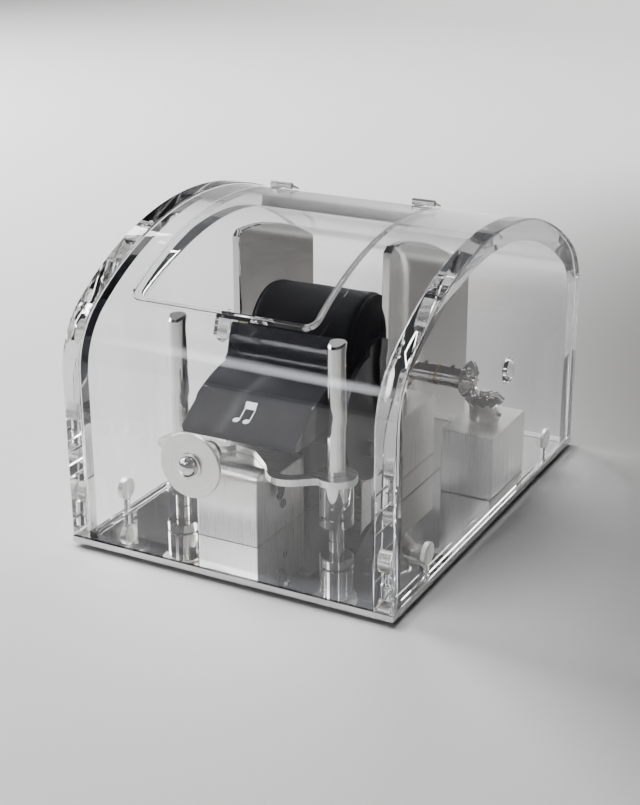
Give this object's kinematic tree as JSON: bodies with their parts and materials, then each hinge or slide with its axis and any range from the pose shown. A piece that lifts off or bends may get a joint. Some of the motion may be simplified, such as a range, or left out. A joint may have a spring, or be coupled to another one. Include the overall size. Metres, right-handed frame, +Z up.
{
  "type": "wind-up music box",
  "caption": "Wind-up music box: clear arched case with a hinged lid over a black movement cover, velvet cushion, columns, wavy bridge, control disc and miter-gear drive on a polished base.",
  "frame": {"origin": "centre of the footprint on the surface the box stands on", "axes": "+X to the drive-block side, -Y to the front with the control disc, +Z up"},
  "size_m": [0.2, 0.2668, 0.1769],
  "materials": {
    "polished_steel": "mirror polished",
    "brushed_steel": "fine brushed satin",
    "dark_steel": "dark grey satin",
    "acrylic": "clear polished acrylic, treated as clear glass",
    "black_gloss": "deep black gloss",
    "velvet": "black velvet",
    "brass": "satin brass",
    "rubber": "matt black"
  },
  "bodies": {
    "case": {"arbor_bracket": "brushed_steel", "base_plate": "polished_steel", "bridge_bar": "brushed_steel", "case_bolt_1": "brushed_steel", "case_bolt_2": "brushed_steel", "case_bolt_3": "brushed_steel", "case_bolt_4": "brushed_steel", "case_shell": "acrylic", "cheek_left": "polished_steel", "cheek_right": "polished_steel", "collar_left": "polished_steel", "collar_right": "polished_steel", "collar_ring_left": "polished_steel", "collar_ring_right": "polished_steel", "column_left": "polished_steel", "column_right": "polished_steel", "comb": "polished_steel", "comb_block": "brushed_steel", "cushion": "velvet", "disc_arbor": "brushed_steel", "dowel_nut_1": "brushed_steel", "dowel_nut_2": "brushed_steel", "dowel_nut_3": "brushed_steel", "dowel_nut_4": "brushed_steel", "end_flange": "dark_steel", "end_panel_left": "acrylic", "end_panel_right": "acrylic", "flange_knob": "dark_steel", "foot_1": "rubber", "foot_2": "rubber", "foot_3": "rubber", "foot_4": "rubber", "front_housing": "brushed_steel", "gear_block": "brushed_steel", "hinge_base_left": "brushed_steel", "hinge_base_right": "brushed_steel", "hinge_pin_left": "polished_steel", "hinge_pin_right": "polished_steel", "housing_screw": "dark_steel", "lever_pin": "polished_steel", "movement_cover": "black_gloss", "pedestal": "dark_steel", "shaft_bush_left": "brass", "shaft_bush_right": "brass"},
    "lid": {"lid_panel": "acrylic", "hinge_leaf_left": "brushed_steel", "hinge_leaf_right": "brushed_steel"},
    "winding_shaft": {"drive_shaft": "polished_steel", "drive_pinion": "polished_steel", "pinion_set_screw": "dark_steel"},
    "cross_shaft": {"cross_shaft": "polished_steel", "miter_gear": "polished_steel", "gear_set_screw": "dark_steel", "shaft_collar": "polished_steel", "pin_cylinder": "brass", "spring_barrel": "brass"},
    "control_disc": {"control_disc": "brushed_steel", "disc_washer": "polished_steel", "disc_screw": "polished_steel"},
    "stop_lever": {"stop_lever": "dark_steel"}
  },
  "joints": [
    {"name": "lid_hinge", "type": "hinge", "parent": "case", "child": "lid", "pos_m": [-0.013, 0.04047, 0.174], "axis": [-1, 0, 0], "range_deg": [0, 95]},
    {"name": "cross_shaft_spin", "type": "hinge", "parent": "case", "child": "cross_shaft", "pos_m": [0, 0.0425, 0.06925], "axis": [1, 0, 0], "continuous": true},
    {"name": "winding_shaft_spin", "type": "hinge", "parent": "case", "child": "winding_shaft", "pos_m": [0.067, 0.0425, 0.03], "axis": [0, 0, 1], "continuous": true},
    {"name": "control_disc_spin", "type": "hinge", "parent": "case", "child": "control_disc", "pos_m": [-0.034, -0.1065, 0.0535], "axis": [0, 1, 0], "continuous": true},
    {"name": "stop_lever_pivot", "type": "hinge", "parent": "case", "child": "stop_lever", "pos_m": [0.0032, -0.071, 0.038], "axis": [1, 0, 0], "range_deg": [-12, 12]}
  ],
  "couplings": [
    {"joint": "winding_shaft_spin", "follows": "cross_shaft_spin", "ratio": -1}
  ]
}
